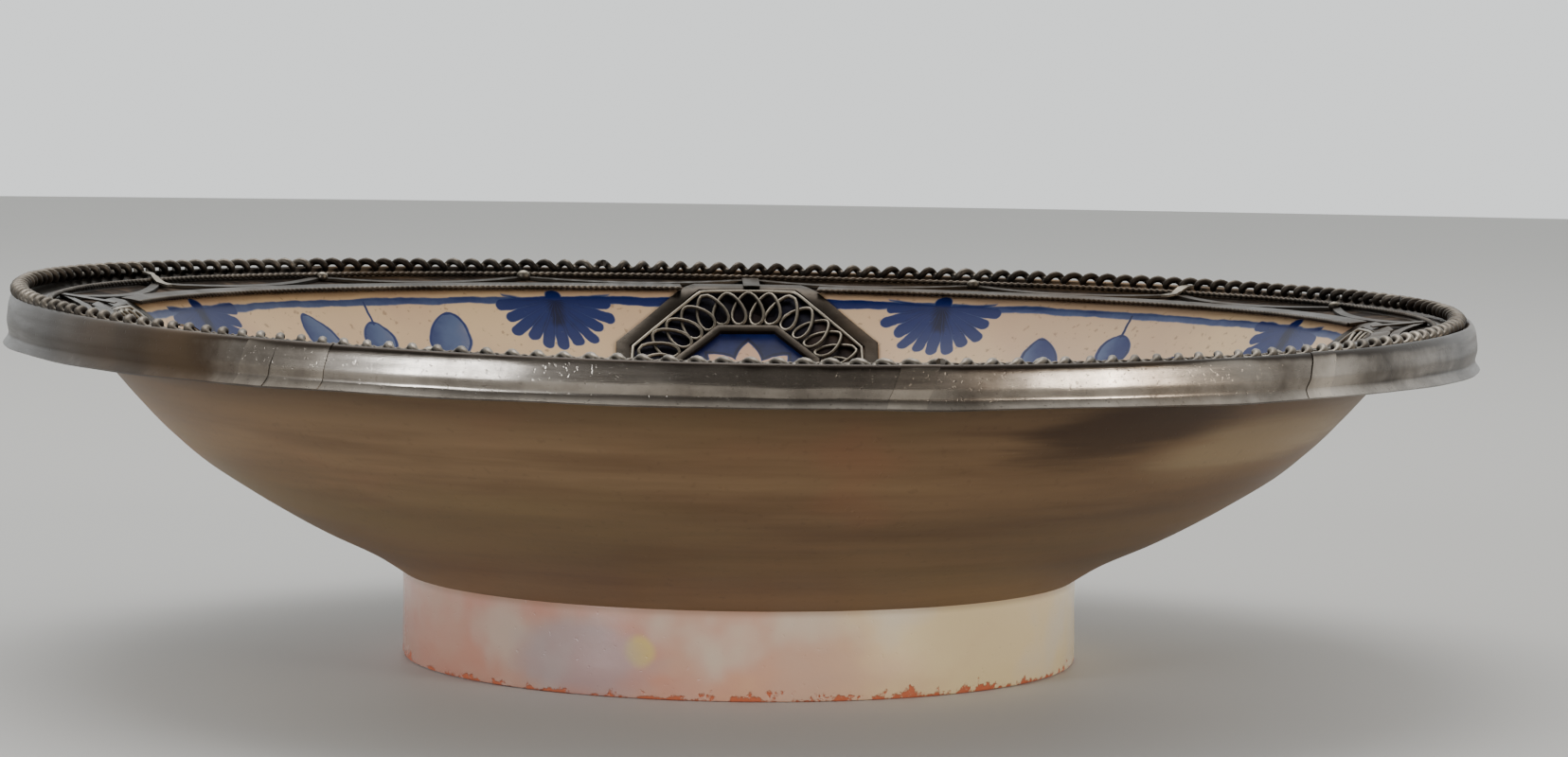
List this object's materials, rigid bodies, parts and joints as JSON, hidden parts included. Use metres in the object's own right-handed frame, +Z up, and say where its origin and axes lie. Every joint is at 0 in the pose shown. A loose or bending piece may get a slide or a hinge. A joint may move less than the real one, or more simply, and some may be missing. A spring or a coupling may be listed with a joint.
{
  "type": "footed serving bowl",
  "caption": "Wide shallow bowl of glazed earthenware on a straight foot ring, its rim bound in metal with a wire coil, scalloped openwork and octagonal filigree medallions on the inside wall.",
  "frame": {"origin": "on the bowl's axis, in the plane that the foot ring stands on", "axes": "+Z up along the axis; +Y towards the first wall medallion; +X to its right, seen from the bowl's middle"},
  "size_m": [0.3504, 0.3501, 0.0874],
  "materials": {
    "glazed_earthenware": "satin tin glaze, brown wash outside, cream inside with cobalt painting",
    "binding_metal": "worn, tarnished nickel silver sheet",
    "filigree_wire": "dark oxidised nickel silver wire with bright crests",
    "openwork_metal": "tarnished nickel silver strip"
  },
  "bodies": {
    "root": {"centre_medallion_edge_wire": "filigree_wire", "centre_medallion_frame": "openwork_metal", "centre_medallion_inner_frame": "openwork_metal", "centre_medallion_lattice": "filigree_wire", "ceramic_bowl": "glazed_earthenware", "inner_ring_1": "openwork_metal", "inner_ring_2": "openwork_metal", "inner_ring_3": "openwork_metal", "inner_ring_4": "openwork_metal", "inner_twist_wire_1": "filigree_wire", "inner_twist_wire_2": "filigree_wire", "inner_twist_wire_3": "filigree_wire", "inner_twist_wire_4": "filigree_wire", "link_plate_1": "openwork_metal", "link_plate_2": "openwork_metal", "link_plate_3": "openwork_metal", "link_plate_4": "openwork_metal", "link_strap_1": "openwork_metal", "link_strap_2": "openwork_metal", "link_strap_3": "openwork_metal", "link_strap_4": "openwork_metal", "node_domes": "openwork_metal", "outer_twist_wire": "filigree_wire", "rim_band_1": "binding_metal", "rim_band_2": "binding_metal", "rim_band_3": "binding_metal", "rim_band_4": "binding_metal", "rim_band_5": "binding_metal", "rim_band_6": "binding_metal", "rim_band_7": "binding_metal", "rim_band_8": "binding_metal", "rim_clips": "openwork_metal", "rim_coil_1": "filigree_wire", "rim_coil_2": "filigree_wire", "rim_coil_3": "filigree_wire", "rim_coil_4": "filigree_wire", "rim_sleeve": "binding_metal", "scallop_strip_1": "openwork_metal", "scallop_strip_2": "openwork_metal", "scallop_strip_3": "openwork_metal", "scallop_strip_4": "openwork_metal", "wall_medallion_edge_wire_1": "filigree_wire", "wall_medallion_edge_wire_2": "filigree_wire", "wall_medallion_edge_wire_3": "filigree_wire", "wall_medallion_edge_wire_4": "filigree_wire", "wall_medallion_frame_1": "openwork_metal", "wall_medallion_frame_2": "openwork_metal", "wall_medallion_frame_3": "openwork_metal", "wall_medallion_frame_4": "openwork_metal", "wall_medallion_inner_frame_1": "openwork_metal", "wall_medallion_inner_frame_2": "openwork_metal", "wall_medallion_inner_frame_3": "openwork_metal", "wall_medallion_inner_frame_4": "openwork_metal", "wall_medallion_lattice_1": "filigree_wire", "wall_medallion_lattice_2": "filigree_wire", "wall_medallion_lattice_3": "filigree_wire", "wall_medallion_lattice_4": "filigree_wire"}
  },
  "joints": []
}
